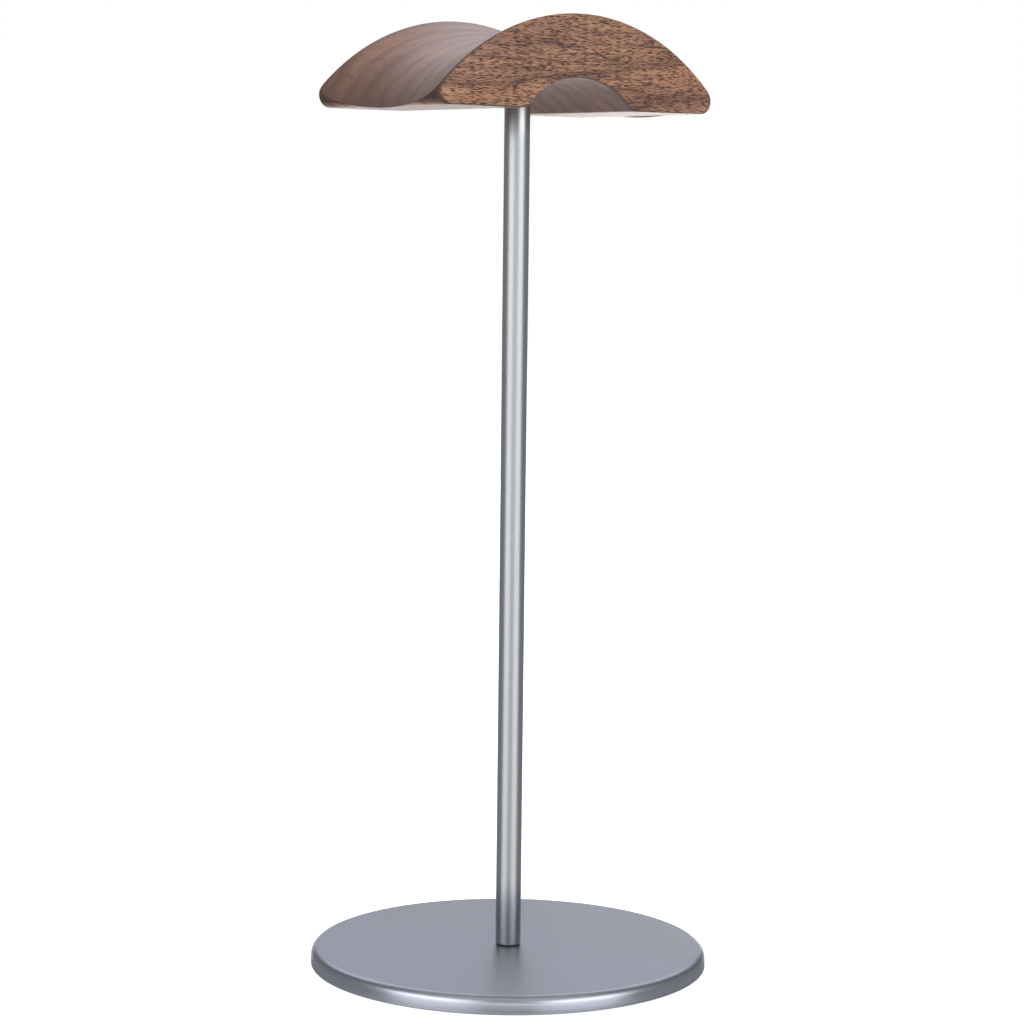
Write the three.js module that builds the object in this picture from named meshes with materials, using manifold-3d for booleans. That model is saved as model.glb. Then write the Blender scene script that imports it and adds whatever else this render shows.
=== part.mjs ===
// Headphone stand: a walnut saddle on a slim round pole, on a heavy round base plate.
// Millimetres, +Z up. The origin is the middle of the resting face under the base,
// X runs along the saddle's width and Y from its front face (-Y) to its back face (+Y).

import * as THREE from "three";
import { mergeVertices } from "three/addons/utils/BufferGeometryUtils.js";
import Module from "manifold-3d";

const wasm = await Module();
wasm.setup();

// ---------------------------------------------------------------- driving dimensions

const BASE_DIAMETER = 125;
const BASE_TOP_Z = 5.7;
const BASE_EDGE_ROUND = 2.6;
const POLE_DIAMETER = 8;
const SADDLE_BOTTOM_Z = 268;
const SADDLE_HEIGHT = 28.9;
const SADDLE_DEPTH = 59.6;
const SADDLE_ARC_RADIUS = 76.4;
const SADDLE_CORNER_RADIUS = 4;
const SADDLE_EDGE_ROUND = 0.6;
const SCOOP_DEPTH = 6.3;
const TUNNEL_HALF_WIDTH = 21.2;
const TUNNEL_HEIGHT = 9.4;
const THREAD_DIAMETER = 5;

// ---------------------------------------------------------------- fits that follow

const JOINT_GAP = 0.3;
const THREAD_RADIUS = THREAD_DIAMETER / 2 - 0.05;
const TAPPED_RADIUS = THREAD_RADIUS + JOINT_GAP;
const SOCKET_DEPTH = 2;

const PAD_THICKNESS = 1.2;
const PAD_PROUD = 0.2;
const PAD_RADIUS = BASE_DIAMETER / 2 - 3.5;
const PAD_HOLE_RADIUS = 8;
const GLUE_FILM = 0.1;

const SCREW_LENGTH = 16;
const SCREW_HEAD_RADIUS = THREAD_DIAMETER;
const SCREW_HEAD_HEIGHT = SCREW_HEAD_RADIUS - THREAD_RADIUS;
const SCREW_HEX_FLATS = 3;
const SCREW_HEX_DEPTH = 1.9;
const SCREW_SINK = 0.2;

const WASHER_THICKNESS = 0.3;
const POLE_BOTTOM_Z = BASE_TOP_Z + WASHER_THICKNESS;
const POLE_TOP_Z = SADDLE_BOTTOM_Z + TUNNEL_HEIGHT + SOCKET_DEPTH;
const POLE_CHAMFER = 0.4;
const POLE_TAP_DEPTH = 14;

const INSERT_RADIUS = 3.5;
const INSERT_LENGTH = 8;
const INSERT_BOTTOM_Z = POLE_TOP_Z + JOINT_GAP;
const STUD_LENGTH = 18;
const STUD_TOP_Z = INSERT_BOTTOM_Z + INSERT_LENGTH - JOINT_GAP;
const STUD_HEX_FLATS = 2.5;
const STUD_HEX_DEPTH = 2.5;

const ROUND_SIDES = 80;
const SMALL_SIDES = 32;
const SCOOP_SIDES = 128;
const SCOOP_STEPS = 14;

// ---------------------------------------------------------------- helpers

// A three.js geometry as a solid that can be joined and cut.
function solid(geometry) {
  const bare = geometry.clone();
  bare.deleteAttribute("normal");
  bare.deleteAttribute("uv");
  const merged = mergeVertices(bare, 1e-4);
  return new wasm.Manifold(new wasm.Mesh({
    numProp: 3,
    vertProperties: new Float32Array(merged.attributes.position.array),
    triVerts: new Uint32Array(merged.index.array),
  }));
}

// A finished solid as a three.js geometry with flat-shaded normals.
function geometryOf(body) {
  const mesh = body.getMesh();
  const geometry = new THREE.BufferGeometry();
  geometry.setAttribute("position", new THREE.BufferAttribute(mesh.vertProperties, 3));
  geometry.setIndex(new THREE.BufferAttribute(mesh.triVerts, 1));
  geometry.computeVertexNormals();
  return geometry;
}

// A turned piece: the (radius, height) profile revolved about the Z axis.
function turned(profile, sides) {
  const points = profile.map(([radius, height]) => new THREE.Vector2(radius, height));
  const geometry = new THREE.LatheGeometry(points, sides);
  geometry.rotateX(Math.PI / 2);
  return geometry;
}

// Quarter-round profile points about (centreRadius, centreHeight), from angle a to angle b.
function arcPoints(centreRadius, centreHeight, radius, fromAngle, toAngle, steps) {
  const points = [];
  for (let i = 0; i <= steps; i += 1) {
    const angle = fromAngle + (toAngle - fromAngle) * (i / steps);
    points.push([
      centreRadius + radius * Math.cos(angle),
      centreHeight + radius * Math.sin(angle),
    ]);
  }
  return points;
}

// A hexagon-key socket of the given size across flats, standing on z = 0.
function hexSocket(acrossFlats, depth) {
  const geometry = new THREE.CylinderGeometry(
    acrossFlats / Math.sqrt(3), acrossFlats / Math.sqrt(3), depth, 6);
  geometry.rotateX(Math.PI / 2);
  geometry.translate(0, 0, depth / 2);
  return solid(geometry);
}

// A plain cylinder between two heights.
function rod(radius, bottomZ, topZ, sides) {
  const geometry = new THREE.CylinderGeometry(radius, radius, topZ - bottomZ, sides);
  geometry.rotateX(Math.PI / 2);
  geometry.translate(0, 0, (bottomZ + topZ) / 2);
  return solid(geometry);
}

// ---------------------------------------------------------------- materials

const walnut = new THREE.MeshStandardMaterial({ color: 0x8f6852, roughness: 0.5, metalness: 0 });
const satinSteel = new THREE.MeshStandardMaterial({ color: 0xa3a5aa, roughness: 0.36, metalness: 1 });
const greyPaint = new THREE.MeshStandardMaterial({ color: 0x9597a4, roughness: 0.45, metalness: 0.6 });
const brass = new THREE.MeshStandardMaterial({ color: 0xb08d4a, roughness: 0.35, metalness: 1 });
const zincSteel = new THREE.MeshStandardMaterial({ color: 0x8a8c90, roughness: 0.4, metalness: 1 });
const blackNylon = new THREE.MeshStandardMaterial({ color: 0x1d1d1f, roughness: 0.6, metalness: 0 });
const blackFoam = new THREE.MeshStandardMaterial({ color: 0x18181a, roughness: 0.9, metalness: 0 });

// ---------------------------------------------------------------- saddle

// End view of the saddle: one long arc over rounded lower corners, and a low arched
// tunnel cut up into the flat bottom.
function saddleOutline() {
  const arcCentre = SADDLE_HEIGHT - SADDLE_ARC_RADIUS;
  const cornerReach = SADDLE_ARC_RADIUS - SADDLE_CORNER_RADIUS;
  const cornerZ = SADDLE_CORNER_RADIUS;
  const cornerX = Math.sqrt(cornerReach ** 2 - (cornerZ - arcCentre) ** 2);
  const cornerAngle = Math.atan2(cornerZ - arcCentre, cornerX);
  const tunnelRadius = (TUNNEL_HALF_WIDTH ** 2 + TUNNEL_HEIGHT ** 2) / (2 * TUNNEL_HEIGHT);
  const tunnelCentre = TUNNEL_HEIGHT - tunnelRadius;
  const tunnelAngle = Math.atan2(-tunnelCentre, TUNNEL_HALF_WIDTH);
  const outline = new THREE.Shape();
  outline.moveTo(TUNNEL_HALF_WIDTH, 0);
  outline.lineTo(cornerX, 0);
  outline.absarc(cornerX, cornerZ, SADDLE_CORNER_RADIUS, -Math.PI / 2, cornerAngle, false);
  outline.absarc(0, arcCentre, SADDLE_ARC_RADIUS, cornerAngle, Math.PI - cornerAngle, false);
  outline.absarc(-cornerX, cornerZ, SADDLE_CORNER_RADIUS, Math.PI - cornerAngle, 1.5 * Math.PI, false);
  outline.lineTo(-TUNNEL_HALF_WIDTH, 0);
  outline.absarc(0, tunnelCentre, tunnelRadius, Math.PI - tunnelAngle, tunnelAngle, true);
  return outline;
}

// The ring that scoops the headband seat: its section is an arc that meets both end
// faces at the outline and dips by SCOOP_DEPTH in the middle.
function scoopRing() {
  const half = SADDLE_DEPTH / 2;
  const sectionRadius = (half ** 2 + SCOOP_DEPTH ** 2) / (2 * SCOOP_DEPTH);
  const sectionCentre = SADDLE_ARC_RADIUS - SCOOP_DEPTH + sectionRadius;
  const reach = half + 4;
  const outer = SADDLE_ARC_RADIUS + 30;
  const profile = [];
  for (let i = 0; i <= SCOOP_STEPS; i += 1) {
    const y = -reach + (2 * reach * i) / SCOOP_STEPS;
    profile.push(new THREE.Vector2(sectionCentre - Math.sqrt(sectionRadius ** 2 - y ** 2), y));
  }
  profile.push(new THREE.Vector2(outer, reach));
  profile.push(new THREE.Vector2(outer, -reach));
  profile.push(profile[0].clone());
  profile.reverse();
  const ring = new THREE.LatheGeometry(profile, SCOOP_SIDES);
  ring.translate(0, 0, SADDLE_HEIGHT - SADDLE_ARC_RADIUS);
  return solid(ring);
}

function makeSaddle() {
  const block = new THREE.ExtrudeGeometry(saddleOutline(), {
    depth: SADDLE_DEPTH - 2 * SADDLE_EDGE_ROUND,
    curveSegments: 24,
    bevelEnabled: true,
    bevelThickness: SADDLE_EDGE_ROUND,
    bevelSize: SADDLE_EDGE_ROUND,
    bevelOffset: -SADDLE_EDGE_ROUND,
    bevelSegments: 3,
  });
  block.translate(0, 0, SADDLE_EDGE_ROUND - SADDLE_DEPTH / 2);
  block.rotateX(Math.PI / 2);
  const roofZ = POLE_TOP_Z - SADDLE_BOTTOM_Z;
  const socket = rod(POLE_DIAMETER / 2 + JOINT_GAP, TUNNEL_HEIGHT / 2, roofZ + JOINT_GAP / 2, SMALL_SIDES);
  const insertBore = rod(INSERT_RADIUS + JOINT_GAP, TUNNEL_HEIGHT / 2,
    INSERT_BOTTOM_Z + INSERT_LENGTH + JOINT_GAP - SADDLE_BOTTOM_Z, SMALL_SIDES);
  return geometryOf(solid(block).subtract(scoopRing()).subtract(socket).subtract(insertBore));
}

// ---------------------------------------------------------------- saddle hardware

// Threaded insert: a short bush screwed into the wood, tapped right through.
function makeInsert() {
  const lead = 0.6;
  return turned([
    [TAPPED_RADIUS, 0],
    [INSERT_RADIUS, 0],
    [INSERT_RADIUS, INSERT_LENGTH - lead],
    [INSERT_RADIUS - lead, INSERT_LENGTH],
    [TAPPED_RADIUS, INSERT_LENGTH],
    [TAPPED_RADIUS, 0],
  ], SMALL_SIDES);
}

// Stud: a headless screw with a hexagon socket in its lower end.
function makeStud() {
  const lead = 0.5;
  const body = solid(turned([
    [0, 0],
    [THREAD_RADIUS - lead, 0],
    [THREAD_RADIUS, lead],
    [THREAD_RADIUS, STUD_LENGTH - lead],
    [THREAD_RADIUS - lead, STUD_LENGTH],
    [0, STUD_LENGTH],
  ], SMALL_SIDES));
  return geometryOf(body.subtract(hexSocket(STUD_HEX_FLATS, STUD_HEX_DEPTH).translate([0, 0, -0.01])));
}

// ---------------------------------------------------------------- pole

// Solid bar, chamfered at both ends and tapped down the middle of each end.
function makePole() {
  const radius = POLE_DIAMETER / 2;
  const length = POLE_TOP_Z - POLE_BOTTOM_Z;
  return turned([
    [0, POLE_TAP_DEPTH],
    [TAPPED_RADIUS, POLE_TAP_DEPTH],
    [TAPPED_RADIUS, 0],
    [radius - POLE_CHAMFER, 0],
    [radius, POLE_CHAMFER],
    [radius, length - POLE_CHAMFER],
    [radius - POLE_CHAMFER, length],
    [TAPPED_RADIUS, length],
    [TAPPED_RADIUS, length - POLE_TAP_DEPTH],
    [0, length - POLE_TAP_DEPTH],
  ], 64);
}

// Thin washer under the pole, just inside the chamfer's edge.
function makePoleWasher() {
  const outer = POLE_DIAMETER / 2 - POLE_CHAMFER / 2;
  return turned([
    [TAPPED_RADIUS, 0],
    [outer, 0],
    [outer, WASHER_THICKNESS],
    [TAPPED_RADIUS, WASHER_THICKNESS],
    [TAPPED_RADIUS, 0],
  ], SMALL_SIDES);
}

// ---------------------------------------------------------------- base

// Plate with a rounded upper edge, a shallow recess for the pad underneath and a
// countersunk hole in the middle.
function makeBasePlate() {
  const outer = BASE_DIAMETER / 2;
  const thickness = BASE_TOP_Z - PAD_PROUD;
  const recessDepth = PAD_THICKNESS - PAD_PROUD + GLUE_FILM;
  const recessRadius = PAD_RADIUS + JOINT_GAP;
  const lowerChamfer = 0.3;
  const boreRadius = THREAD_RADIUS + JOINT_GAP;
  const sinkRadius = SCREW_HEAD_RADIUS + JOINT_GAP + SCREW_SINK;
  return turned([
    [boreRadius, recessDepth + sinkRadius - boreRadius],
    [sinkRadius, recessDepth],
    [recessRadius, recessDepth],
    [recessRadius, 0],
    [outer - lowerChamfer, 0],
    [outer, lowerChamfer],
    ...arcPoints(outer - BASE_EDGE_ROUND, thickness - BASE_EDGE_ROUND, BASE_EDGE_ROUND, 0, Math.PI / 2, 6),
    [boreRadius, thickness],
    [boreRadius, recessDepth + sinkRadius - boreRadius],
  ], ROUND_SIDES);
}

// Countersunk screw, head down, with a hexagon socket in its flat head.
function makeBaseScrew() {
  const lead = 0.5;
  const body = solid(turned([
    [0, 0],
    [SCREW_HEAD_RADIUS, 0],
    [THREAD_RADIUS, SCREW_HEAD_HEIGHT],
    [THREAD_RADIUS, SCREW_LENGTH - lead],
    [THREAD_RADIUS - lead, SCREW_LENGTH],
    [0, SCREW_LENGTH],
  ], SMALL_SIDES));
  return geometryOf(body.subtract(hexSocket(SCREW_HEX_FLATS, SCREW_HEX_DEPTH).translate([0, 0, -0.01])));
}

// Anti-slip ring pad with a hole in the middle for the key.
function makeBasePad() {
  return turned([
    [PAD_HOLE_RADIUS, 0],
    [PAD_RADIUS, 0],
    [PAD_RADIUS, PAD_THICKNESS],
    [PAD_HOLE_RADIUS, PAD_THICKNESS],
    [PAD_HOLE_RADIUS, 0],
  ], ROUND_SIDES);
}

// ---------------------------------------------------------------- assembly

const stand = new THREE.Group();

function place(parent, name, geometry, material, z) {
  const mesh = new THREE.Mesh(geometry, material);
  mesh.name = name;
  mesh.position.set(0, 0, z);
  parent.add(mesh);
}

const head = new THREE.Group();
head.position.z = SADDLE_BOTTOM_Z;
place(head, "saddle", makeSaddle(), walnut, 0);
place(head, "saddle_insert", makeInsert(), brass, INSERT_BOTTOM_Z - SADDLE_BOTTOM_Z);
place(head, "saddle_stud", makeStud(), zincSteel, STUD_TOP_Z - STUD_LENGTH - SADDLE_BOTTOM_Z);
stand.add(head);

place(stand, "pole", makePole(), satinSteel, POLE_BOTTOM_Z);

const foot = new THREE.Group();
place(foot, "pole_washer", makePoleWasher(), blackNylon, BASE_TOP_Z);
place(foot, "base_plate", makeBasePlate(), greyPaint, PAD_PROUD);
place(foot, "base_screw", makeBaseScrew(), zincSteel, PAD_THICKNESS + GLUE_FILM + SCREW_SINK);
place(foot, "base_pad", makeBasePad(), blackFoam, 0);
stand.add(foot);

export default stand;
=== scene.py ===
"""Headphone stand: walnut saddle, satin steel pole and metallic grey base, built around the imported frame.

Lengths are in metres. X runs along the saddle's width, -Y is its front face and +Z is up.
Materials measure in millimetres, in the objects' own coordinates, which are the frame's.
"""

import math

import bmesh
import bpy
import numpy as np
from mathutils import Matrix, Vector


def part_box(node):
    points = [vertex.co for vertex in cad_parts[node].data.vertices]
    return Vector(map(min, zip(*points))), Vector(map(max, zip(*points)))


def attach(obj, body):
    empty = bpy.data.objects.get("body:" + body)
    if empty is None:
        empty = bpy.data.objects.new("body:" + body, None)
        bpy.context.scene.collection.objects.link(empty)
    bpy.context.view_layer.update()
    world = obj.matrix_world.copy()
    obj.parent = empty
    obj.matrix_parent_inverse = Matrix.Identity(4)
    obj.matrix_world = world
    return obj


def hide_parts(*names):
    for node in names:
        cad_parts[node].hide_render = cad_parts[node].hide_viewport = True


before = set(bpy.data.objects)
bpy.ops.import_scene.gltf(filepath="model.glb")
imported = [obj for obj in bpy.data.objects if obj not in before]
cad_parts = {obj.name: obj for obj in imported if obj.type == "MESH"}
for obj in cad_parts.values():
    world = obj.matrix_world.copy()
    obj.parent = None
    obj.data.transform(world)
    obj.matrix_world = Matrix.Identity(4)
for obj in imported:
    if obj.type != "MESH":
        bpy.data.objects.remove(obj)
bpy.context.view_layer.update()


MM = 0.001
TAU = 2 * math.pi

# ------------------------------------------------------------------ sizes from the frame

SADDLE_LOW, SADDLE_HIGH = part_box("saddle")
POLE_LOW, POLE_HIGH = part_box("pole")
PLATE_LOW, PLATE_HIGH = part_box("base_plate")
PAD_LOW, PAD_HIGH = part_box("base_pad")
WASHER_LOW, WASHER_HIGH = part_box("pole_washer")
SCREW_LOW, SCREW_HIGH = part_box("base_screw")
STUD_LOW, STUD_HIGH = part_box("saddle_stud")
INSERT_LOW, INSERT_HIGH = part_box("saddle_insert")

SADDLE_BOTTOM = SADDLE_LOW.z
HALF_DEPTH = SADDLE_HIGH.y
SADDLE_HEIGHT = SADDLE_HIGH.z - SADDLE_LOW.z
POLE_RADIUS = POLE_HIGH.x
PLATE_RADIUS = PLATE_HIGH.x
THREAD_CREST = STUD_HIGH.x

# ------------------------------------------------------------------ sizes that the boxes don't give

ARC_RADIUS = 76.4 * MM
CORNER_RADIUS = 4 * MM
SCOOP_DEPTH = 6.3 * MM
TUNNEL_HALF_WIDTH = 21.2 * MM
TUNNEL_HEIGHT = 9.4 * MM
BASE_EDGE_ROUND = 2.6 * MM
THREAD_DEPTH = 0.42 * MM
THREAD_ROOT = THREAD_CREST - THREAD_DEPTH
THREAD_PITCH = 0.8 * MM


# ------------------------------------------------------------------ mesh helpers

SHARP_ANGLE = 35
THREAD_SHARP_ANGLE = 28
PLATE_SHARP_ANGLE = 40
SMALL_SIDES = 96
POLE_SIDES = 128
PAD_SIDES = 192
PLATE_SIDES = 288


def placed(name, data):
    """A new object in the scene, at the frame's origin."""
    thing = bpy.data.objects.new(name, data)
    bpy.context.scene.collection.objects.link(thing)
    return thing


def closed_mesh(name, vertices, faces):
    """A closed mesh whose faces all look outwards."""
    mesh = bpy.data.meshes.new(name)
    mesh.from_pydata([tuple(v) for v in vertices], [], faces)
    mesh.validate()
    work = bmesh.new()
    work.from_mesh(mesh)
    bmesh.ops.recalc_face_normals(work, faces=work.faces)
    work.to_mesh(mesh)
    work.free()
    return mesh


def smooth_between(mesh, sharp_angle):
    """Smooth shading, with edges over the sharp angle (in degrees) kept crisp."""
    mesh.shade_smooth()
    mesh.set_sharp_from_angle(angle=math.radians(sharp_angle))


def mesh_object(name, vertices, faces, material, node, sharp_angle=SHARP_ANGLE):
    """A closed piece that rides on the stand and stands for its CAD node."""
    mesh = closed_mesh(name, vertices, faces)
    smooth_between(mesh, sharp_angle)
    piece = placed(name, mesh)
    mesh.materials.append(material)
    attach(piece, "root")
    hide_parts(node)
    return piece


def loft(rings, closed):
    """Vertices and faces that join rings of equally many points.

    A closed loft joins its last ring to its first; an open one gets a flat cap at each end.
    """
    count = len(rings[0])
    vertices = np.concatenate(rings)
    faces = []
    spans = len(rings) if closed else len(rings) - 1
    for i in range(spans):
        near = i * count
        far = ((i + 1) % len(rings)) * count
        for j in range(count):
            k = (j + 1) % count
            faces.append((near + j, near + k, far + k, far + j))
    if not closed:
        last = (len(rings) - 1) * count
        faces.append(tuple(range(count))[::-1])
        faces.append(tuple(range(last, last + count)))
    return vertices, faces


def ring(radius, z, sides):
    """A level ring of points; radius may be one number or one for each point."""
    angles = np.arange(sides) * TAU / sides
    radii = np.broadcast_to(radius, angles.shape)
    heights = np.broadcast_to(z, angles.shape)
    return np.stack([radii * np.cos(angles), radii * np.sin(angles), heights], 1)


def corner(centre_radius, centre_z, radius, start, end, steps):
    """(radius, height) pairs around a rounded profile corner, angles in degrees."""
    angles = np.radians(np.linspace(start, end, steps + 1))
    return [(centre_radius + radius * math.cos(a), centre_z + radius * math.sin(a)) for a in angles]


def turned(profile, sides, closed):
    """A lathe-turned shape from its (radius, height) profile."""
    return loft([ring(radius, z, sides) for radius, z in profile], closed)


def hexagon(across_flats, sides):
    """Radius of a hexagon at each point of a ring."""
    angles = np.arange(sides) * TAU / sides
    wrapped = (angles + math.pi / 6) % (math.pi / 3) - math.pi / 6
    return across_flats / 2 / np.cos(wrapped)


def thread(root, crest, pitch, low, high, sides, fade):
    """Rings of a helical thread; the ridge fades to the root over the length fade at both ends."""
    rings_per_turn = 8
    steps = int(round((high - low) / pitch * rings_per_turn))
    angles = np.arange(sides) * TAU / sides
    rings = []
    for z in np.linspace(low, high, steps + 1):
        phase = (z / pitch - angles / TAU) % 1
        ridge = np.clip(1.25 - np.abs(phase - 0.5) * 3, 0, 1)
        ends = min(1, (z - low) / fade, (high - z) / fade)
        rings.append(ring(root + (crest - root) * ridge * ends, z, sides))
    return rings


# ------------------------------------------------------------------ material helpers

def set_range(node, low, high, to_low, to_high):
    """Gives a Map Range node its two ranges."""
    for key, number in (("From Min", low), ("From Max", high), ("To Min", to_low), ("To Max", to_high)):
        node.inputs[key].default_value = number


class Nodes:
    """Short names for building one material's node tree."""

    def __init__(self, name):
        self.material = bpy.data.materials.new(name)
        self.material.use_nodes = True
        self.tree = self.material.node_tree
        self.shader = self.tree.nodes["Principled BSDF"]
        self.place = self.add("ShaderNodeTexCoord").outputs["Object"]

    def add(self, kind, **settings):
        """A new node with these properties."""
        node = self.tree.nodes.new(kind)
        for key, value in settings.items():
            setattr(node, key, value)
        return node

    def link(self, source, target):
        self.tree.links.new(source, target)

    def fill(self, socket, value):
        """Puts a number, or the output of another node, into a socket."""
        if isinstance(value, bpy.types.NodeSocket):
            self.link(value, socket)
        else:
            socket.default_value = value

    def math(self, operation, *values):
        """The result of a sum on numbers or sockets."""
        node = self.add("ShaderNodeMath", operation=operation)
        for socket, value in zip(node.inputs, values):
            self.fill(socket, value)
        return node.outputs[0]

    def scaled(self, x, y, z):
        """The object's own coordinates, times x, y and z per millimetre."""
        node = self.add("ShaderNodeVectorMath", operation="MULTIPLY")
        self.link(self.place, node.inputs[0])
        node.inputs[1].default_value = (x / MM, y / MM, z / MM)
        return node.outputs[0]

    def surface_normal(self):
        """The surface's unit normal, split into its X, Y and Z outputs."""
        surface = self.add("ShaderNodeNewGeometry")
        split = self.add("ShaderNodeSeparateXYZ")
        self.link(surface.outputs["Normal"], split.inputs[0])
        return split.outputs

    def noise(self, vector, scale, detail=3.0, roughness=0.5):
        """Soft noise around 0.5."""
        node = self.add("ShaderNodeTexNoise")
        self.link(vector, node.inputs["Vector"])
        node.inputs["Scale"].default_value = scale
        node.inputs["Detail"].default_value = detail
        node.inputs["Roughness"].default_value = roughness
        return node.outputs["Fac"]

    def ramp(self, value, stops):
        """A colour ramp from (position, (r, g, b)) stops, or a grey one from (position, level)."""
        node = self.add("ShaderNodeValToRGB")
        elements = node.color_ramp.elements
        while len(elements) < len(stops):
            elements.new(0.5)
        for element, (position, colour) in zip(elements, stops):
            element.position = position
            rgb = colour if isinstance(colour, tuple) else (colour,) * 3
            element.color = (*rgb, 1)
        self.link(value, node.inputs["Fac"])
        return node.outputs["Color"]

    def span(self, value, low, high, to_low=0.0, to_high=1.0):
        """Maps a value from one range to another, clamped."""
        node = self.add("ShaderNodeMapRange")
        set_range(node, low, high, to_low, to_high)
        self.link(value, node.inputs["Value"])
        return node.outputs["Result"]

    def mix(self, factor, a, b):
        """Colour a where the factor is 0 and colour b where it is 1."""
        node = self.add("ShaderNodeMix", data_type="RGBA")
        self.fill(node.inputs["Factor"], factor)
        for socket, value in ((node.inputs[6], a), (node.inputs[7], b)):
            if isinstance(value, tuple):
                value = (*value, 1)
            self.fill(socket, value)
        return node.outputs[2]

    def bump(self, height, distance, strength):
        """Relief from a height of 0 to 1, where 1 stands the given distance proud."""
        node = self.add("ShaderNodeBump")
        node.inputs["Distance"].default_value = distance
        node.inputs["Strength"].default_value = strength
        self.link(height, node.inputs["Height"])
        self.link(node.outputs["Normal"], self.shader.inputs["Normal"])


# ------------------------------------------------------------------ walnut

# The pith runs along X, in front of the block and above its middle.
PITH_DISTANCE = 95.0
PITH_RISE = 30.0
PITH_Z = (SADDLE_BOTTOM + SADDLE_HEIGHT / 2) / MM + PITH_RISE
RING_SPACING = 6.6
RING_WANDER = 14.0
RING_LEAN = 0.05
YEAR_RHYTHM = 2.7

# Layers of open pores: length and width along and across the grain, the share of places that
# hold a pore, and a shift that keeps the layers from lining up.
PORE_LAYERS = ((3.4, 0.29, 0.8, 0.0), (2.7, 0.25, 0.8, 37.0), (4.4, 0.31, 0.5, 91.0))

# The band of painted shade along the seat's rim beside each face, measured from the block's middle, and the
# tunnel's edge.
RIM_START = HALF_DEPTH / MM - 1.7
RIM_END = HALF_DEPTH / MM - 0.6
TUNNEL_EDGE = TUNNEL_HALF_WIDTH / MM

DARK_STREAK = (0.38, 0.2, 0.123)
MEDIUM_STREAK = (0.6, 0.312, 0.187)
PALE_STREAK = (0.78, 0.41, 0.242)
RED_CLOUD = (0.44, 0.18, 0.087)
GREY_YEARS = (0.19, 0.115, 0.1)
FIBRE_BROWN = (0.22, 0.115, 0.082)
LATE_WOOD_BROWN = (0.105, 0.05, 0.046)
VEIN_BROWN = (0.09, 0.036, 0.032)
PORE_BROWN = (0.05, 0.019, 0.017)
SEAT_BROWN = (0.165, 0.08, 0.062)
# Painted shade along the seat's rim.
RIM_SHADE_BROWN = (0.06, 0.028, 0.024)
# Painted reflection of the pale floor on the tunnel's roof.
TUNNEL_SHEEN_GREY = (0.25, 0.212, 0.23)
END_GRAIN_BROWN = (0.052, 0.027, 0.02)
# Painted shade on the rounded edges round the end faces.
EDGE_SHADE_BROWN = (0.075, 0.036, 0.028)


def growth_rings(n, place):
    """Ring number at each point: distance from the pith over the spacing, wandering along the grain."""
    drift = n.noise(n.scaled(0.012, 0.03, 0.03), 1.0)
    wander = n.math("MULTIPLY", n.math("SUBTRACT", drift, 0.5), RING_WANDER)
    dy = n.math("ADD", place["Y"], PITH_DISTANCE)
    dz = n.math("SUBTRACT", place["Z"], PITH_Z)
    radius = n.math("SQRT", n.math("ADD", n.math("MULTIPLY", dy, dy), n.math("MULTIPLY", dz, dz)))
    lean = n.math("MULTIPLY", place["X"], RING_LEAN)
    return n.math("DIVIDE", n.math("ADD", n.math("ADD", radius, wander), lean), RING_SPACING)


def wood_figure(n, place, fibre, facing_y):
    """Walnut's colour: streaks, reddish clouds, fibres, rings, and veins that show on the cut faces."""
    growth = growth_rings(n, place)
    late_wood = n.ramp(n.math("FRACT", growth), [(0.0, 0.4), (0.16, 0.0), (0.5, 0.1), (0.78, 0.55),
                                                 (0.92, 1.0), (1.0, 0.4)])
    years = n.span(n.math("SINE", n.math("MULTIPLY", growth, YEAR_RHYTHM)), -0.8, 0.9)
    streak = n.noise(n.scaled(0.03, 0.5, 0.5), 1.0, roughness=0.6)
    cloud = n.noise(n.scaled(0.03, 0.08, 0.08), 1.0, detail=2.0)
    vein = n.noise(n.scaled(0.018, 0.22, 0.22), 1.0)
    vein_line = n.span(n.math("ABSOLUTE", n.math("SUBTRACT", vein, 0.5)), 0.022, 0.004)
    vein_depth = n.math("MULTIPLY", vein_line, n.span(facing_y, 0.6, 0.95, 0.1, 0.65))
    colour = n.ramp(streak, [(0.3, DARK_STREAK), (0.5, MEDIUM_STREAK), (0.7, PALE_STREAK)])
    colour = n.mix(n.span(cloud, 0.4, 0.62, 0.0, 0.35), colour, RED_CLOUD)
    colour = n.mix(n.math("MULTIPLY", years, 0.4), colour, GREY_YEARS)
    colour = n.mix(n.span(fibre, 0.3, 0.75, 0.0, 0.3), colour, FIBRE_BROWN)
    colour = n.mix(n.math("MULTIPLY", late_wood, 0.6), colour, LATE_WOOD_BROWN)
    return n.mix(vein_depth, colour, VEIN_BROWN)


def pore_layer(n, length, width, share, shift):
    """Short dashes along the grain: 1 in a pore, 0 in the wood between."""
    shifted = n.add("ShaderNodeVectorMath", operation="ADD")
    n.link(n.scaled(1 / length, 1 / width, 1 / width), shifted.inputs[0])
    shifted.inputs[1].default_value = (shift, shift, shift)
    cells = n.add("ShaderNodeTexVoronoi", feature="F1")
    n.link(shifted.outputs[0], cells.inputs["Vector"])
    cells.inputs["Scale"].default_value = 1.0
    inside = n.span(cells.outputs["Distance"], 0.38, 0.26)
    pick = n.add("ShaderNodeSeparateColor")
    n.link(cells.outputs["Color"], pick.inputs[0])
    chosen = n.math("LESS_THAN", pick.outputs[0], share)
    return n.math("MULTIPLY", inside, chosen)


def open_pores(n, facing_y):
    """All the pore layers, at full strength on the cut faces and faint on the sanded seat."""
    pores = pore_layer(n, *PORE_LAYERS[0])
    for layer in PORE_LAYERS[1:]:
        pores = n.math("MAXIMUM", pores, pore_layer(n, *layer))
    return n.math("MULTIPLY", pores, n.span(facing_y, 0.45, 0.95, 0.22, 1.0))


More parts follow.
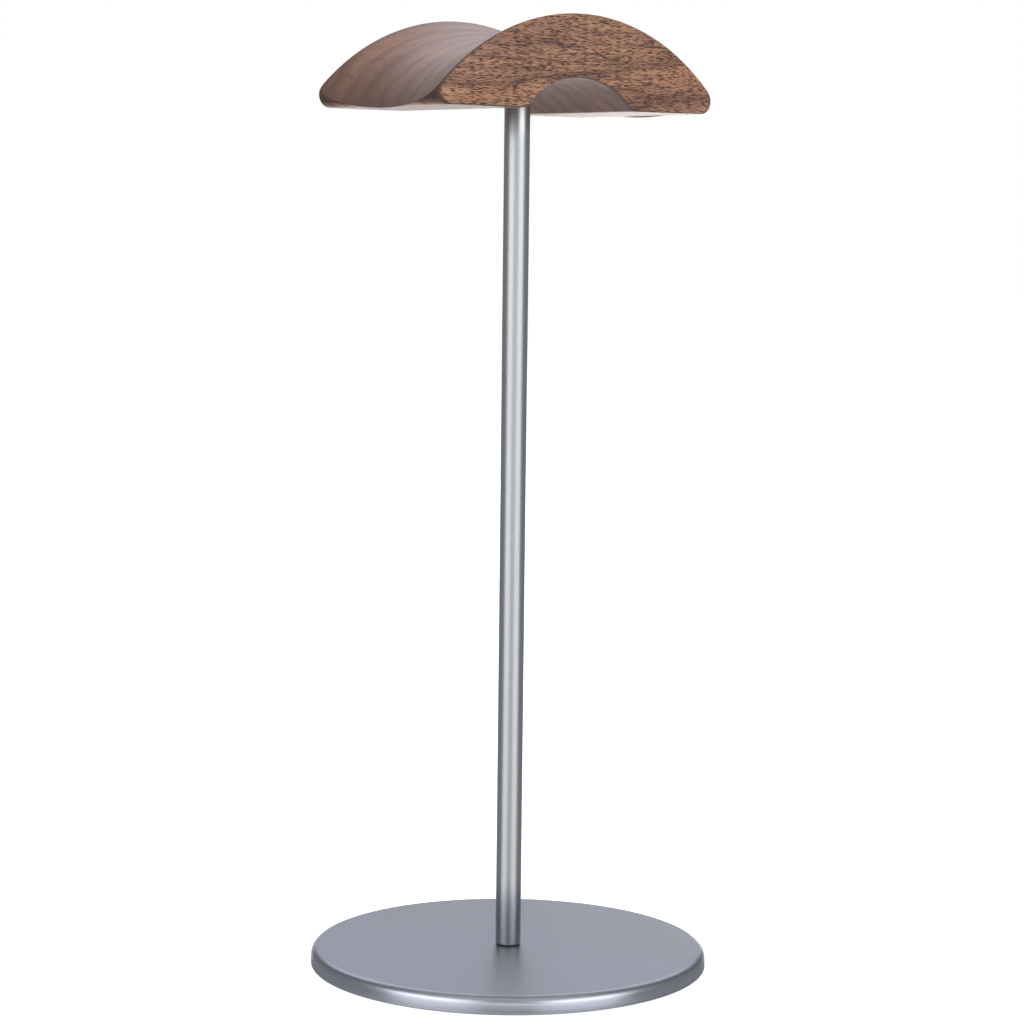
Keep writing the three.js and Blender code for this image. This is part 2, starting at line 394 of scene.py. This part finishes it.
def walnut():
    """Oiled walnut with its grain along X: darker on the seat and on the end grain, with painted shade at
    the rims and on the rounded edges, and a painted reflection on the tunnel's roof.
    """
    n = Nodes("walnut")
    split = n.add("ShaderNodeSeparateXYZ")
    n.link(n.scaled(1, 1, 1), split.inputs[0])
    place = split.outputs
    normal = n.surface_normal()
    facing_x = n.math("ABSOLUTE", normal["X"])
    facing_y = n.math("ABSOLUTE", normal["Y"])
    facing_z = n.math("ABSOLUTE", normal["Z"])
    fibre = n.noise(n.scaled(0.12, 2.6, 2.6), 1.0, roughness=0.6)
    colour = wood_figure(n, place, fibre, facing_y)
    pores = open_pores(n, facing_y)
    colour = n.mix(pores, colour, PORE_BROWN)

    upward = n.span(normal["Z"], 0.0, 0.3)
    seat = n.math("MULTIPLY", upward, n.span(facing_y, 0.9, 0.6, 0.0, 0.54))
    colour = n.mix(seat, colour, SEAT_BROWN)
    # Painted shade: a dark band on the seat's rim beside each end face, where the rounded edge turns away
    # from the light.
    near_face = n.span(n.math("ABSOLUTE", place["Y"]), RIM_START, RIM_END)
    painted_rim_shade = n.math("MULTIPLY", near_face, n.span(facing_y, 0.97, 0.85))
    colour = n.mix(n.math("MULTIPLY", painted_rim_shade, 0.7), colour, RIM_SHADE_BROWN)

    in_tunnel = n.span(n.math("ABSOLUTE", place["X"]), TUNNEL_EDGE + 2.5, TUNNEL_EDGE + 0.5)
    # Painted reflection: downward faces in the tunnel take a cool grey, the sheen of the pale floor below.
    tunnel_roof_sheen = n.math("MULTIPLY", in_tunnel, n.span(normal["Z"], 0.0, -0.3, 0.0, 0.4))
    colour = n.mix(tunnel_roof_sheen, colour, TUNNEL_SHEEN_GREY)
    outside_tunnel = n.span(in_tunnel, 0.0, 1.0, 1.0, 0.35)
    end_grain = n.math("MULTIPLY", n.span(facing_x, 0.4, 0.85, 0.0, 0.95), outside_tunnel)
    colour = n.mix(end_grain, colour, END_GRAIN_BROWN)

    # Painted shade: the rounded edges round each end face and the lower corners' flanks are darkened where
    # they turn away from the light.
    rounded_edge_shade = n.ramp(facing_y, [(0.35, 0.0), (0.52, 1.0), (0.9, 1.0), (0.985, 0.0)])
    edge_shade_depth = n.span(facing_z, 0.15, 0.45, 0.2, 0.75)
    colour = n.mix(n.math("MULTIPLY", rounded_edge_shade, edge_shade_depth), colour, EDGE_SHADE_BROWN)
    n.link(colour, n.shader.inputs["Base Color"])

    roughness = n.math("ADD", n.span(fibre, 0.2, 0.8, 0.36, 0.44), n.math("MULTIPLY", pores, 0.2))
    roughness = n.math("ADD", roughness, n.math("MULTIPLY", end_grain, 0.3))
    n.link(roughness, n.shader.inputs["Roughness"])
    relief = n.math("SUBTRACT", n.math("MULTIPLY", fibre, 0.12), pores)
    n.bump(relief, 0.12 * MM, 0.6)
    return n.material


# ------------------------------------------------------------------ metals, rubber and nylon

FINE_RELIEF = 0.03 * MM


def satin_steel():
    """Bead-blasted steel bar: fine speckle in colour, gloss and relief."""
    n = Nodes("satin_steel")
    speckle = n.noise(n.scaled(1, 1, 1), 4.0, detail=2.0)
    drawn = n.noise(n.scaled(3, 3, 0.08), 1.0, detail=3.0)
    colour = n.ramp(speckle, [(0.3, (0.475, 0.497, 0.517)), (0.7, (0.59, 0.615, 0.642))])
    colour = n.mix(n.span(drawn, 0.3, 0.7, 0.0, 0.25), colour, (0.5, 0.525, 0.55))
    n.link(colour, n.shader.inputs["Base Color"])
    n.shader.inputs["Metallic"].default_value = 1.0
    n.link(n.span(speckle, 0.3, 0.7, 0.3, 0.36), n.shader.inputs["Roughness"])
    n.bump(speckle, FINE_RELIEF, 0.3)
    return n.material


def base_finish():
    """Grey metallic base: a blasted matt top, and a finer turned rim with machining lines, its colour
    painted much paler than the top's as painted light.
    """
    n = Nodes("base_finish")
    rim = n.span(n.math("ABSOLUTE", n.surface_normal()["Z"]), 0.75, 0.3)
    flake = n.noise(n.scaled(1, 1, 1), 3.0, detail=2.0)
    cloud = n.noise(n.scaled(0.04, 0.04, 0.04), 1.0, detail=3.0)
    lines = n.noise(n.scaled(0.03, 0.03, 3.2), 1.0, detail=4.0)
    top = n.ramp(flake, [(0.3, (0.297, 0.298, 0.34)), (0.7, (0.361, 0.363, 0.414))])
    top = n.mix(n.span(cloud, 0.35, 0.7, 0.0, 0.25), top, (0.308, 0.31, 0.353))
    # Painted light: the rim's colour is far paler than the top's so the side looks lit; its fine lines are
    # real turning marks.
    turned_lit_rim = n.ramp(lines, [(0.3, (0.49, 0.52, 0.605)), (0.7, (0.6, 0.635, 0.73))])
    n.link(n.mix(rim, top, turned_lit_rim), n.shader.inputs["Base Color"])
    n.shader.inputs["Metallic"].default_value = 1.0
    matt = n.span(flake, 0.3, 0.7, 0.33, 0.4)
    fine = n.span(lines, 0.3, 0.7, 0.26, 0.34)
    roughness = n.add("ShaderNodeMix", data_type="FLOAT")
    for socket, value in zip(roughness.inputs[:1] + roughness.inputs[2:4], (rim, matt, fine)):
        n.link(value, socket)
    n.link(roughness.outputs[0], n.shader.inputs["Roughness"])
    n.bump(flake, FINE_RELIEF, 0.5)
    return n.material


def worked_metal(name, light, dark, roughness):
    """A small turned metal part: fine turning marks round it and a mottled plating."""
    n = Nodes(name)
    marks = n.noise(n.scaled(0.4, 0.4, 9), 1.0, detail=3.0)
    mottle = n.noise(n.scaled(1, 1, 1), 0.9, detail=3.0)
    colour = n.mix(n.span(mottle, 0.3, 0.7), light, dark)
    n.link(colour, n.shader.inputs["Base Color"])
    n.shader.inputs["Metallic"].default_value = 1.0
    rougher = roughness + 0.16
    n.link(n.span(marks, 0.3, 0.7, roughness, rougher), n.shader.inputs["Roughness"])
    n.bump(marks, FINE_RELIEF, 0.6)
    return n.material


def foam_rubber():
    """Dense black foam rubber with fine open cells."""
    n = Nodes("foam_rubber")
    cells = n.add("ShaderNodeTexVoronoi", feature="F1")
    n.link(n.scaled(1, 1, 1), cells.inputs["Vector"])
    cells.inputs["Scale"].default_value = 2.4
    pits = n.span(cells.outputs["Distance"], 0.1, 0.5)
    cloud = n.noise(n.scaled(0.08, 0.08, 0.08), 1.0, detail=3.0)
    colour = n.mix(pits, (0.012, 0.012, 0.013), (0.034, 0.034, 0.037))
    colour = n.mix(n.span(cloud, 0.3, 0.7, 0.0, 0.4), colour, (0.045, 0.045, 0.048))
    n.link(colour, n.shader.inputs["Base Color"])
    n.link(n.span(cloud, 0.3, 0.7, 0.78, 0.92), n.shader.inputs["Roughness"])
    n.bump(pits, 0.1 * MM, 0.7)
    return n.material


def black_nylon():
    """Moulded black nylon with a faint cloudy surface."""
    n = Nodes("black_nylon")
    grain = n.noise(n.scaled(1, 1, 1), 2.5, detail=3.0)
    n.link(n.ramp(grain, [(0.3, (0.012, 0.012, 0.013)), (0.7, (0.026, 0.026, 0.028))]),
           n.shader.inputs["Base Color"])
    n.link(n.span(grain, 0.3, 0.7, 0.5, 0.65), n.shader.inputs["Roughness"])
    n.bump(grain, FINE_RELIEF, 0.4)
    return n.material


# ------------------------------------------------------------------ saddle

ARC_CENTRE = SADDLE_HEIGHT - ARC_RADIUS
SCOOP_SECTION = (HALF_DEPTH ** 2 + SCOOP_DEPTH ** 2) / (2 * SCOOP_DEPTH)
RIDGE_SOFTNESS = 0.25 * MM
TOE_RADIUS = 0.8 * MM

# The end faces are smaller than the block, and the edge between is rounded over.
FACE_TOP = SADDLE_HEIGHT - 0.45 * MM
FACE_ARC_RADIUS = ARC_RADIUS - 1.7 * MM
FACE_CORNER_RADIUS = CORNER_RADIUS + 0.3 * MM
FACE_BOTTOM = 0.35 * MM
FACE_TUNNEL_INSET = 0.4 * MM
FACE_SUPPORT = 0.12 * MM
EDGE_ROUND = 0.45 * MM
EDGE_ROUND_PER_DRAW_IN = 0.7
EDGE_STEPS = 8
MIDDLE_SECTIONS = 59

BORE_GAP = 0.3 * MM
BORE_ROOF_GAP = 0.15 * MM
BORE_START = 3 * MM


def arc(x, z, radius, start, end, steps):
    """Points around a circle in the XZ plane, without the last one; angles in radians."""
    angles = np.linspace(start, end, steps, endpoint=False)
    return np.stack([x + radius * np.cos(angles), z + radius * np.sin(angles)], 1)


def saddle_outline(top, arc_radius, corner_radius, bottom, tunnel_inset):
    """End outline of the saddle, counter-clockwise from the top of its tunnel.

    Heights are above the saddle's flat bottom. The crown's arc meets the bottom in round corners,
    and the tunnel's arc is set back from its true size by the inset.
    """
    centre = top - arc_radius
    corner_z = bottom + corner_radius
    corner_x = math.sqrt((arc_radius - corner_radius) ** 2 - (corner_z - centre) ** 2)
    corner_angle = math.atan2(corner_z - centre, corner_x)
    true_radius = (TUNNEL_HALF_WIDTH ** 2 + TUNNEL_HEIGHT ** 2) / (2 * TUNNEL_HEIGHT)
    tunnel_centre = TUNNEL_HEIGHT - true_radius
    tunnel_radius = true_radius + tunnel_inset
    toe_z = bottom + TOE_RADIUS / 2
    toe_angle = math.asin((toe_z - tunnel_centre) / tunnel_radius)
    toe_start = np.array([tunnel_radius * math.cos(toe_angle), toe_z])
    toe_corner = np.array([math.sqrt(tunnel_radius ** 2 - (bottom - tunnel_centre) ** 2), bottom])
    toe_end = toe_corner + np.array([TOE_RADIUS, 0])

    tunnel_steps, toe_steps, flat_steps, corner_steps, crown_steps = 44, 8, 24, 36, 110
    tunnel = arc(0, tunnel_centre, tunnel_radius, math.pi / 2, toe_angle, tunnel_steps)
    share = np.linspace(0, 1, toe_steps, endpoint=False)[:, None]
    toe = (1 - share) ** 2 * toe_start + 2 * share * (1 - share) * toe_corner + share ** 2 * toe_end
    flat_x = np.linspace(toe_end[0], corner_x, flat_steps, endpoint=False)
    flat = np.stack([flat_x, np.full(flat_steps, bottom)], 1)
    round_corner = arc(corner_x, corner_z, corner_radius, -math.pi / 2, corner_angle, corner_steps)
    crown = arc(0, centre, arc_radius, corner_angle, math.pi / 2, crown_steps)
    half = np.concatenate([tunnel, toe, flat, round_corner, crown])
    mirrored = half[1:][::-1] * np.array([-1, 1])
    return np.concatenate([half, [[0.0, top]], mirrored])


def outward_normals(loop):
    """Unit normals of a counter-clockwise loop in the XZ plane."""
    along = np.roll(loop, -1, axis=0) - np.roll(loop, 1, axis=0)
    normals = np.stack([along[:, 1], -along[:, 0]], 1)
    return normals / np.linalg.norm(normals, axis=1, keepdims=True)


def scooped(outline, y):
    """The outline at depth y (one number for each point), pulled in to the scoop where that is deeper.

    The ridge where the two meet is blended over the ridge softness.
    """
    from_centre = outline - np.array([0, ARC_CENTRE])
    reach = np.linalg.norm(from_centre, axis=1)
    limit = ARC_RADIUS - SCOOP_DEPTH + SCOOP_SECTION - np.sqrt(SCOOP_SECTION ** 2 - y ** 2)
    gap = (reach - limit) / RIDGE_SOFTNESS
    far = 30  # beyond this many softnesses the blend has no effect
    pulled = limit - RIDGE_SOFTNESS * np.log1p(np.exp(-np.clip(gap, -far, far)))
    pulled = np.where(gap > far, limit, pulled)
    pulled = np.where(gap < -far, reach, np.minimum(pulled, reach))
    return np.array([0, ARC_CENTRE]) + from_centre * (pulled / reach)[:, None]


def standing(section, y):
    """Points of an XZ section, placed at depth y."""
    return np.stack([section[:, 0], np.broadcast_to(y, len(section)), section[:, 1]], 1)


def rounded_end(outline, face, edge, side):
    """Rings from the middle of one end face over its rounded edge to the full outline."""
    flat_face = standing(face, side * HALF_DEPTH)
    inner = flat_face.copy()
    inner[:, [0, 2]] -= outward_normals(face) * FACE_SUPPORT
    rings = [inner, flat_face]
    for i in range(1, EDGE_STEPS + 1):
        turn = math.pi / 2 * i / EDGE_STEPS
        y = side * (HALF_DEPTH - edge * (1 - math.cos(turn)))
        section = scooped(outline, y)
        closed_in = scooped(face, y)
        rings.append(standing(section + (closed_in - section) * (1 - math.sin(turn)), y))
    return rings


def drill_from_below(piece):
    """Cuts the blind hole for the pole's top end, the insert and the stud."""
    bore_radius = POLE_RADIUS + BORE_GAP
    insert_radius = INSERT_HIGH.x + BORE_GAP
    roof = POLE_HIGH.z + BORE_ROOF_GAP
    profile = [(bore_radius, SADDLE_BOTTOM + BORE_START), (bore_radius, roof), (insert_radius, roof),
               (insert_radius, INSERT_HIGH.z + BORE_GAP)]
    cutter = placed("bore", closed_mesh("bore", *turned(profile, SMALL_SIDES, closed=False)))
    cut = piece.modifiers.new("bore", "BOOLEAN")
    cut.operation = "DIFFERENCE"
    cut.solver = "EXACT"
    cut.object = cutter
    bpy.context.view_layer.update()
    evaluated = piece.evaluated_get(bpy.context.evaluated_depsgraph_get())
    bored = bpy.data.meshes.new_from_object(evaluated)
    piece.modifiers.remove(cut)
    piece.data = bored
    bpy.data.objects.remove(cutter)
    smooth_between(bored, SHARP_ANGLE)


def make_saddle(material):
    """The saddle's sections follow its outline; near each end they close in to a smaller end face.

    The end face draws in most at its lower outer corners, where the wood is rounded over furthest.
    """
    outline = saddle_outline(SADDLE_HEIGHT, ARC_RADIUS, CORNER_RADIUS, 0, 0)
    face = saddle_outline(FACE_TOP, FACE_ARC_RADIUS, FACE_CORNER_RADIUS, FACE_BOTTOM, FACE_TUNNEL_INSET)
    draw_in = np.linalg.norm(face - outline, axis=1)
    edge = EDGE_ROUND + EDGE_ROUND_PER_DRAW_IN * draw_in
    middle = []
    for share in np.linspace(-1, 1, MIDDLE_SECTIONS + 2)[1:-1]:
        y = (HALF_DEPTH - edge) * share
        middle.append(standing(scooped(outline, y), y))
    front = rounded_end(outline, face, edge, -1)
    back = rounded_end(outline, face, edge, 1)
    vertices, faces = loft(front + middle + back[::-1], closed=False)
    vertices[:, 2] += SADDLE_BOTTOM
    piece = mesh_object("saddle_walnut", vertices, faces, material, "saddle")
    drill_from_below(piece)


# ------------------------------------------------------------------ pole and fixings

POLE_CHAMFER = 0.4 * MM
TAP_GAP = 0.25 * MM
TAP_DEPTH = 14 * MM
DRILL_POINT = 1.2 * MM
DRILL_TIP = 0.2 * MM
MOUTH_CHAMFER = 0.3 * MM
CLEARANCE = 0.3 * MM
SOCKET_TIP = 0.15 * MM
TIP_TAPER = 0.35 * MM
FIXING_SIDES = 72


def bar_end(end, inward):
    """Profile of one end of the pole, from the tip of its tapped hole out to its full radius.

    Inward is 1 at the foot and -1 at the top. The chamfer's outer edge is slightly broken.
    """
    bore = THREAD_CREST + TAP_GAP
    broken = 0.06 * MM
    run_out = 0.04 * MM
    steps = [
        (DRILL_TIP, TAP_DEPTH),
        (bore, TAP_DEPTH - DRILL_POINT),
        (bore, MOUTH_CHAMFER),
        (bore + MOUTH_CHAMFER, 0),
        (POLE_RADIUS - POLE_CHAMFER, 0),
        (POLE_RADIUS - broken, POLE_CHAMFER - broken),
        (POLE_RADIUS, POLE_CHAMFER + run_out),
    ]
    return [(radius, end + inward * depth) for radius, depth in steps]


def make_pole(material):
    """Solid round bar, tapped and chamfered at both ends."""
    low, high = POLE_LOW.z, POLE_HIGH.z
    rows = 12
    side = [(POLE_RADIUS, z) for z in np.linspace(low, high, rows + 2)[1:-1]]
    profile = bar_end(low, 1) + side + bar_end(high, -1)[::-1]
    vertices, faces = turned(profile, POLE_SIDES, closed=False)
    mesh_object("pole_bar", vertices, faces, material, "pole")


def make_washer(material):
    """Thin flat ring with bevelled outer edges."""
    bevel = 0.05 * MM
    inner, outer = THREAD_CREST + CLEARANCE, WASHER_HIGH.x
    low, high = WASHER_LOW.z, WASHER_HIGH.z
    profile = [(inner, low), (outer - bevel, low), (outer, low + bevel), (outer, high - bevel),
               (outer - bevel, high), (inner, high)]
    vertices, faces = turned(profile, SMALL_SIDES, closed=True)
    mesh_object("pole_washer_nylon", vertices, faces, material, "pole_washer")


def hex_socket(across_flats, depth, low, tip_rise, chamfer):
    """Rings of a hexagon socket cut up into an end, from its drilled tip down to its mouth."""
    radii = hexagon(across_flats, FIXING_SIDES)
    return [
        ring(SOCKET_TIP, low + depth + tip_rise, FIXING_SIDES),
        ring(radii, low + depth, FIXING_SIDES),
        ring(radii, low + chamfer, FIXING_SIDES),
        ring(radii + chamfer, low, FIXING_SIDES),
    ]


def make_screw(material):
    """Countersunk screw, head down, with a hexagon socket and a full thread."""
    low, high = SCREW_LOW.z, SCREW_HIGH.z
    head = SCREW_HIGH.x
    across_flats, depth = 3 * MM, 1.9 * MM
    land = 0.25 * MM
    broken = 0.06 * MM
    neck = low + land + head - THREAD_CREST
    rings = hex_socket(across_flats, depth, low, 0.5 * MM, 0.12 * MM)
    socket_floor = ring(hexagon(across_flats, FIXING_SIDES) * 0.9, low + depth, FIXING_SIDES)
    rings.insert(1, socket_floor)
    rings += [
        ring(head - land, low, FIXING_SIDES),
        ring(head - broken, low + broken, FIXING_SIDES),
        ring(head, low + land, FIXING_SIDES),
        ring(THREAD_CREST, neck, FIXING_SIDES),
    ]
    rings += thread(THREAD_ROOT, THREAD_CREST, THREAD_PITCH, neck + 0.3 * MM, high - 0.5 * MM,
                    FIXING_SIDES, THREAD_PITCH)
    rings.append(ring(THREAD_ROOT - TIP_TAPER, high, FIXING_SIDES))
    vertices, faces = loft(rings, closed=False)
    mesh_object("base_screw_steel", vertices, faces, material, "base_screw", THREAD_SHARP_ANGLE)


def make_stud(material):
    """Headless stud, threaded all along, with a hexagon socket in its lower end."""
    low, high = STUD_LOW.z, STUD_HIGH.z
    across_flats, depth = 2.5 * MM, 2.5 * MM
    rings = hex_socket(across_flats, depth, low, 0.4 * MM, 0.1 * MM)
    rings.append(ring(THREAD_ROOT - 0.1 * MM, low, FIXING_SIDES))
    rings += thread(THREAD_ROOT, THREAD_CREST, THREAD_PITCH, low + 0.2 * MM, high - 0.4 * MM,
                    FIXING_SIDES, 0.6 * MM)
    rings.append(ring(THREAD_ROOT - TIP_TAPER, high, FIXING_SIDES))
    vertices, faces = loft(rings, closed=False)
    mesh_object("saddle_stud_steel", vertices, faces, material, "saddle_stud", THREAD_SHARP_ANGLE)


def make_insert(material):
    """Brass sleeve with a coarse wood thread outside and a machine thread inside."""
    low, high = INSERT_LOW.z, INSERT_HIGH.z
    outer = INSERT_HIGH.x
    inner = THREAD_CREST + 0.15 * MM
    wood_pitch = 2 * MM
    rings = thread(outer - THREAD_DEPTH, outer, wood_pitch, low, high, SMALL_SIDES, 0.5 * MM)
    rings += thread(inner + 0.16 * MM, inner, THREAD_PITCH, low, high, SMALL_SIDES, 0.4 * MM)[::-1]
    vertices, faces = loft(rings, closed=True)
    mesh_object("saddle_insert_brass", vertices, faces, material, "saddle_insert",
                THREAD_SHARP_ANGLE)


# ------------------------------------------------------------------ base

def make_plate(material):
    """Round plate: rounded upper edge, a recess for the pad, and a countersunk screw hole."""
    low, high = PLATE_LOW.z, PLATE_HIGH.z
    outer = PLATE_RADIUS
    bore = THREAD_CREST + CLEARANCE
    sink = SCREW_HIGH.x + 0.5 * MM
    ceiling = PAD_HIGH.z + 0.1 * MM
    recess = PAD_HIGH.x + CLEARANCE
    recess_corner = 0.2 * MM
    recess_mouth = 0.1 * MM
    lower_edge = 0.3 * MM
    top_rows_end = 6 * MM
    profile = [(bore, ceiling + sink - bore), (sink, ceiling), (recess - recess_corner, ceiling),
               (recess, ceiling - recess_corner), (recess, low + recess_mouth), (recess + recess_mouth, low)]
    profile += corner(outer - lower_edge, low + lower_edge, lower_edge, -90, 0, 5)
    profile += corner(outer - BASE_EDGE_ROUND, high - BASE_EDGE_ROUND, BASE_EDGE_ROUND, 0, 90, 24)
    profile += [(radius, high) for radius in np.linspace(outer - BASE_EDGE_ROUND, top_rows_end, 12)[1:]]
    profile += [(bore + MOUTH_CHAMFER, high), (bore, high - MOUTH_CHAMFER)]
    vertices, faces = turned(profile, PLATE_SIDES, closed=True)
    mesh_object("base_plate_coated", vertices, faces, material, "base_plate", PLATE_SHARP_ANGLE)


def make_pad(material):
    """Thin foam ring under the plate, with a hole for the screw's key."""
    low, high = PAD_LOW.z, PAD_HIGH.z
    inner, outer = 8 * MM, PAD_HIGH.x
    bevel = 0.15 * MM
    profile = [(inner, low + bevel), (inner + bevel, low)]
    profile += [(radius, low) for radius in np.linspace(inner, outer, 12)[1:-1]]
    profile += [(outer - bevel, low), (outer, low + bevel), (outer, high - bevel), (outer - bevel, high),
                (inner + bevel, high), (inner, high - bevel)]
    vertices, faces = turned(profile, PAD_SIDES, closed=True)
    mesh_object("base_pad_foam", vertices, faces, material, "base_pad")


# ------------------------------------------------------------------ the pieces

fixing_steel = worked_metal("fixing_steel", (0.46, 0.47, 0.48), (0.38, 0.385, 0.4), 0.26)
insert_brass = worked_metal("insert_brass", (0.74, 0.56, 0.27), (0.6, 0.44, 0.2), 0.24)

make_saddle(walnut())
make_pole(satin_steel())
make_washer(black_nylon())
make_screw(fixing_steel)
make_stud(fixing_steel)
make_insert(insert_brass)
make_plate(base_finish())
make_pad(foam_rubber())

# ------------------------------------------------------------------ camera

CAMERA_AZIMUTH = math.radians(40.09)
CAMERA_DISTANCE = 0.8968
CAMERA_HEIGHT = 0.2392
CAMERA_PITCH = math.radians(6.074)
CAMERA_ROLL = math.radians(0.65)
CAMERA_SHIFT = -0.0008
LENS_MM = 101.34
SENSOR_MM = 36

toward_camera = Vector((-math.sin(CAMERA_AZIMUTH), -math.cos(CAMERA_AZIMUTH), 0))
to_the_right = Vector((math.cos(CAMERA_AZIMUTH), -math.sin(CAMERA_AZIMUTH), 0))

camera_data = bpy.data.cameras.new("camera")
camera_data.lens = LENS_MM
camera_data.sensor_width = SENSOR_MM
camera_data.shift_x = CAMERA_SHIFT
camera_data.clip_start = 0.01
camera = placed("camera", camera_data)
camera.location = toward_camera * CAMERA_DISTANCE + Vector((0, 0, CAMERA_HEIGHT))
sight = -toward_camera * math.cos(CAMERA_PITCH) - Vector((0, 0, math.sin(CAMERA_PITCH)))
camera.rotation_euler = sight.to_track_quat("-Z", "Y").to_euler()
camera.rotation_euler.rotate_axis("Z", CAMERA_ROLL)
bpy.context.scene.camera = camera


# ------------------------------------------------------------------ studio

LIGHT_TARGET_HEIGHT = 0.16
WHITE = (1, 1, 1)
COOL_WHITE = (0.93, 0.97, 1.1)


def studio_direction(azimuth, elevation):
    """Unit vector to a place in the studio; azimuth 0 is the camera's side, positive to its right."""
    a, e = math.radians(azimuth), math.radians(elevation)
    level = toward_camera * math.cos(a) + to_the_right * math.sin(a)
    return level * math.cos(e) + Vector((0, 0, math.sin(e)))


def soft_box(name, azimuth, elevation, distance, width, height, brightness, colour=WHITE):
    """A rectangular light that faces the stand; brightness 1 looks pure white.

    Azimuth and elevation are in degrees, and distance, width and height in metres.
    """
    light_data = bpy.data.lights.new(name, "AREA")
    light_data.shape = "RECTANGLE"
    light_data.size = width
    light_data.size_y = height
    light_data.energy = brightness * math.pi * width * height
    light_data.color = colour
    light = placed(name, light_data)
    direction = studio_direction(azimuth, elevation)
    light.location = Vector((0, 0, LIGHT_TARGET_HEIGHT)) + direction * distance
    light.rotation_euler = (-direction).to_track_quat("-Z", "Y").to_euler()
    light.visible_camera = False


# Two pairs of boxes light the front and give the pole its bright bands and the plate's rim its
# highlight. The back panels give the plate's top and the seat their sheen.
for side in (-1, 1):
    soft_box("low_box", 42 * side, -4, 1.5, 1.4, 1.1, 1.1)
    soft_box("high_box", 48 * side, 27, 1.5, 1.3, 0.85, 1.9)
soft_box("top_box", 0, 80, 1.5, 1.7, 1.5, 0.7)
soft_box("front_box", 0, 7.7, 1.5, 0.6, 0.6, 0.62)
soft_box("low_front_box", 0, -9, 1.5, 0.6, 0.6, 0.52)
soft_box("right_back_panel", 172, -10, 1.6, 0.35, 0.45, 2.6)
soft_box("low_back_panel", 180, -11, 1.6, 1.2, 0.5, 2.0)
soft_box("middle_back_panel", 180, 13, 1.6, 1.2, 0.6, 0.4, COOL_WHITE)
soft_box("high_back_panel", 180, 40, 1.6, 2.2, 0.85, 1.45, COOL_WHITE)

ROOM_GLOW = 0.25
TABLE_GLOW = 0.6
FLOOR_GLOW = 0.85
FLOOR_RADIUS = 4.0
FLOOR_SIDES = 96


def make_world():
    """White behind the stand; for its lighting, a dim room that is brighter straight below."""
    world = bpy.data.worlds.new("studio")
    bpy.context.scene.world = world
    world.use_nodes = True
    tree = world.node_tree
    room = tree.nodes["Background"]
    paper = tree.nodes.new("ShaderNodeBackground")
    choose = tree.nodes.new("ShaderNodeMixShader")
    rays = tree.nodes.new("ShaderNodeLightPath")
    direction = tree.nodes.new("ShaderNodeTexCoord")
    upward = tree.nodes.new("ShaderNodeSeparateXYZ")
    glow = tree.nodes.new("ShaderNodeMapRange")
    set_range(glow, -0.7, -0.3, TABLE_GLOW, ROOM_GLOW)
    for background in (room, paper):
        background.inputs["Color"].default_value = (*WHITE, 1)
    tree.links.new(direction.outputs["Generated"], upward.inputs[0])
    tree.links.new(upward.outputs["Z"], glow.inputs["Value"])
    tree.links.new(glow.outputs["Result"], room.inputs["Strength"])
    tree.links.new(rays.outputs["Is Camera Ray"], choose.inputs["Fac"])
    tree.links.new(room.outputs[0], choose.inputs[1])
    tree.links.new(paper.outputs[0], choose.inputs[2])
    tree.links.new(choose.outputs[0], tree.nodes["World Output"].inputs["Surface"])


def make_floor():
    """A pale level floor, big enough to fill every view."""
    n = Nodes("pale_floor")
    grain = n.noise(n.scaled(0.01, 0.01, 0.01), 1.0, detail=2.0)
    n.link(n.ramp(grain, [(0.3, 0.86), (0.7, 0.9)]), n.shader.inputs["Base Color"])
    n.shader.inputs["Roughness"].default_value = 0.9
    n.shader.inputs["Specular IOR Level"].default_value = 0.1
    n.shader.inputs["Emission Color"].default_value = (*WHITE, 1)
    n.shader.inputs["Emission Strength"].default_value = FLOOR_GLOW
    mesh = bpy.data.meshes.new("floor")
    outline = [tuple(point) for point in ring(FLOOR_RADIUS, 0, FLOOR_SIDES)]
    mesh.from_pydata(outline, [], [tuple(range(FLOOR_SIDES))])
    mesh.materials.append(n.material)
    floor = placed("floor", mesh)
    floor.visible_glossy = False
    floor.visible_diffuse = False


make_world()
make_floor()
bpy.context.scene.view_settings.view_transform = "Standard"
